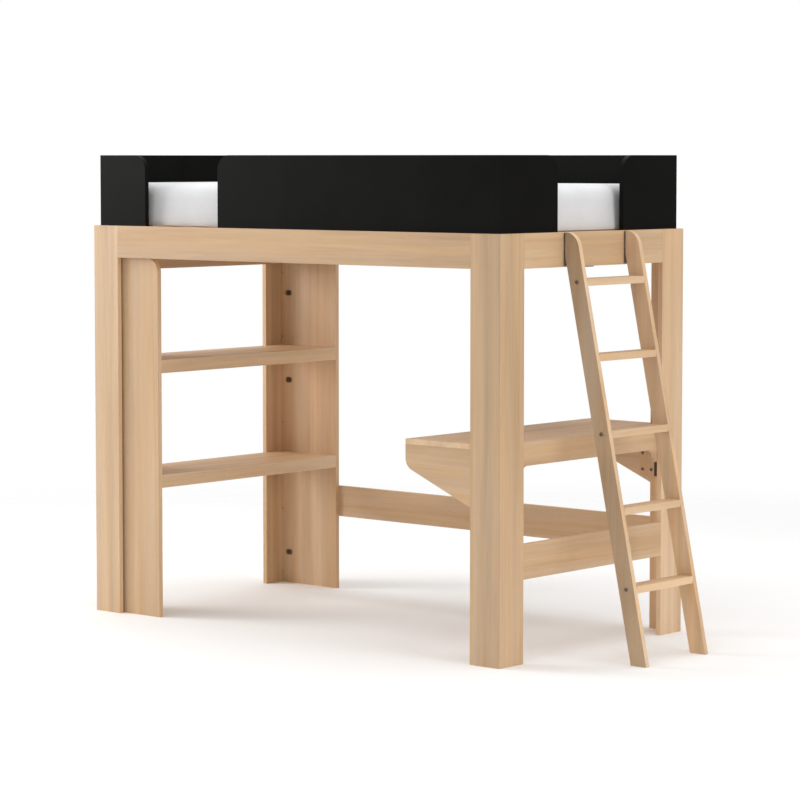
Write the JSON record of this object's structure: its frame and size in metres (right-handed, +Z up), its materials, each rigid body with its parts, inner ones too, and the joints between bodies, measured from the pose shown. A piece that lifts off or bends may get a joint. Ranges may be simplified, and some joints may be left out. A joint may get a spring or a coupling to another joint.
{
  "type": "loft bed with ladder",
  "caption": "High wooden loft bed with black guard boards, an open bookcase and a desk underneath, a sloping lift-off ladder at one end, and a twin mattress.",
  "frame": {"origin": "on the floor under the middle of the whole object, the ladder included", "axes": "+X along the bed towards the ladder end, +Y from the front to the wall side, +Z up"},
  "size_m": [2.372, 1.067, 1.756],
  "materials": {
    "wood": "satin lacquered pale birch or maple, fine straight grain",
    "slat_wood": "plain sawn softwood",
    "black_board": "satin black paint",
    "bolt_steel": "dark bronzed steel",
    "bracket_steel": "dark grey powder coat",
    "mattress_fabric": "matt white knitted ticking"
  },
  "bodies": {
    "bed_frame": {"beam_shoe_left": "bracket_steel", "beam_shoe_right": "bracket_steel", "bookcase_top_rail": "wood", "bookcase_upright_back": "wood", "bookcase_upright_front": "wood", "center_beam": "wood", "desk_apron": "wood", "desk_cleat_back": "wood", "desk_cleat_front": "wood", "desk_gusset_back": "wood", "desk_gusset_front": "wood", "desk_top": "wood", "guard_back": "black_board", "guard_front_long": "black_board", "guard_front_short": "black_board", "guard_left": "black_board", "guard_right_far": "black_board", "guard_right_near": "black_board", "hook_plate_far": "bracket_steel", "hook_plate_near": "bracket_steel", "ledger_back": "wood", "ledger_front": "wood", "ledger_left": "wood", "ledger_right": "wood", "leg_back_left_face": "wood", "leg_back_left_side": "wood", "leg_back_right_face": "wood", "leg_back_right_side": "wood", "leg_front_left_face": "wood", "leg_front_left_side": "wood", "leg_front_right_face": "wood", "leg_front_right_side": "wood", "rail_back": "wood", "rail_front": "wood", "rail_left": "wood", "rail_right": "wood", "shelf_lower": "wood", "shelf_lower_lip": "wood", "shelf_upper": "wood", "shelf_upper_lip": "wood", "slat_cleat_back": "wood", "slat_cleat_front": "wood", "slat_roll": "slat_wood", "stretcher_back": "wood", "stretcher_right": "wood"},
    "ladder": {"ladder_hook_far": "bracket_steel", "ladder_hook_near": "bracket_steel", "ladder_rod_1": "bolt_steel", "ladder_rod_3": "bolt_steel", "ladder_rod_5": "bolt_steel", "ladder_rung_1": "wood", "ladder_rung_2": "wood", "ladder_rung_3": "wood", "ladder_rung_4": "wood", "ladder_rung_5": "wood", "ladder_stile_far": "wood", "ladder_stile_near": "wood"},
    "mattress": {"mattress": "mattress_fabric"}
  },
  "joints": [
    {"name": "ladder_lift", "type": "slide", "parent": "bed_frame", "child": "ladder", "axis": [0, 0, 1], "range_m": [0, 0.06]},
    {"name": "mattress_lift", "type": "slide", "parent": "bed_frame", "child": "mattress", "axis": [0, 0, 1], "range_m": [0, 0.3]}
  ]
}
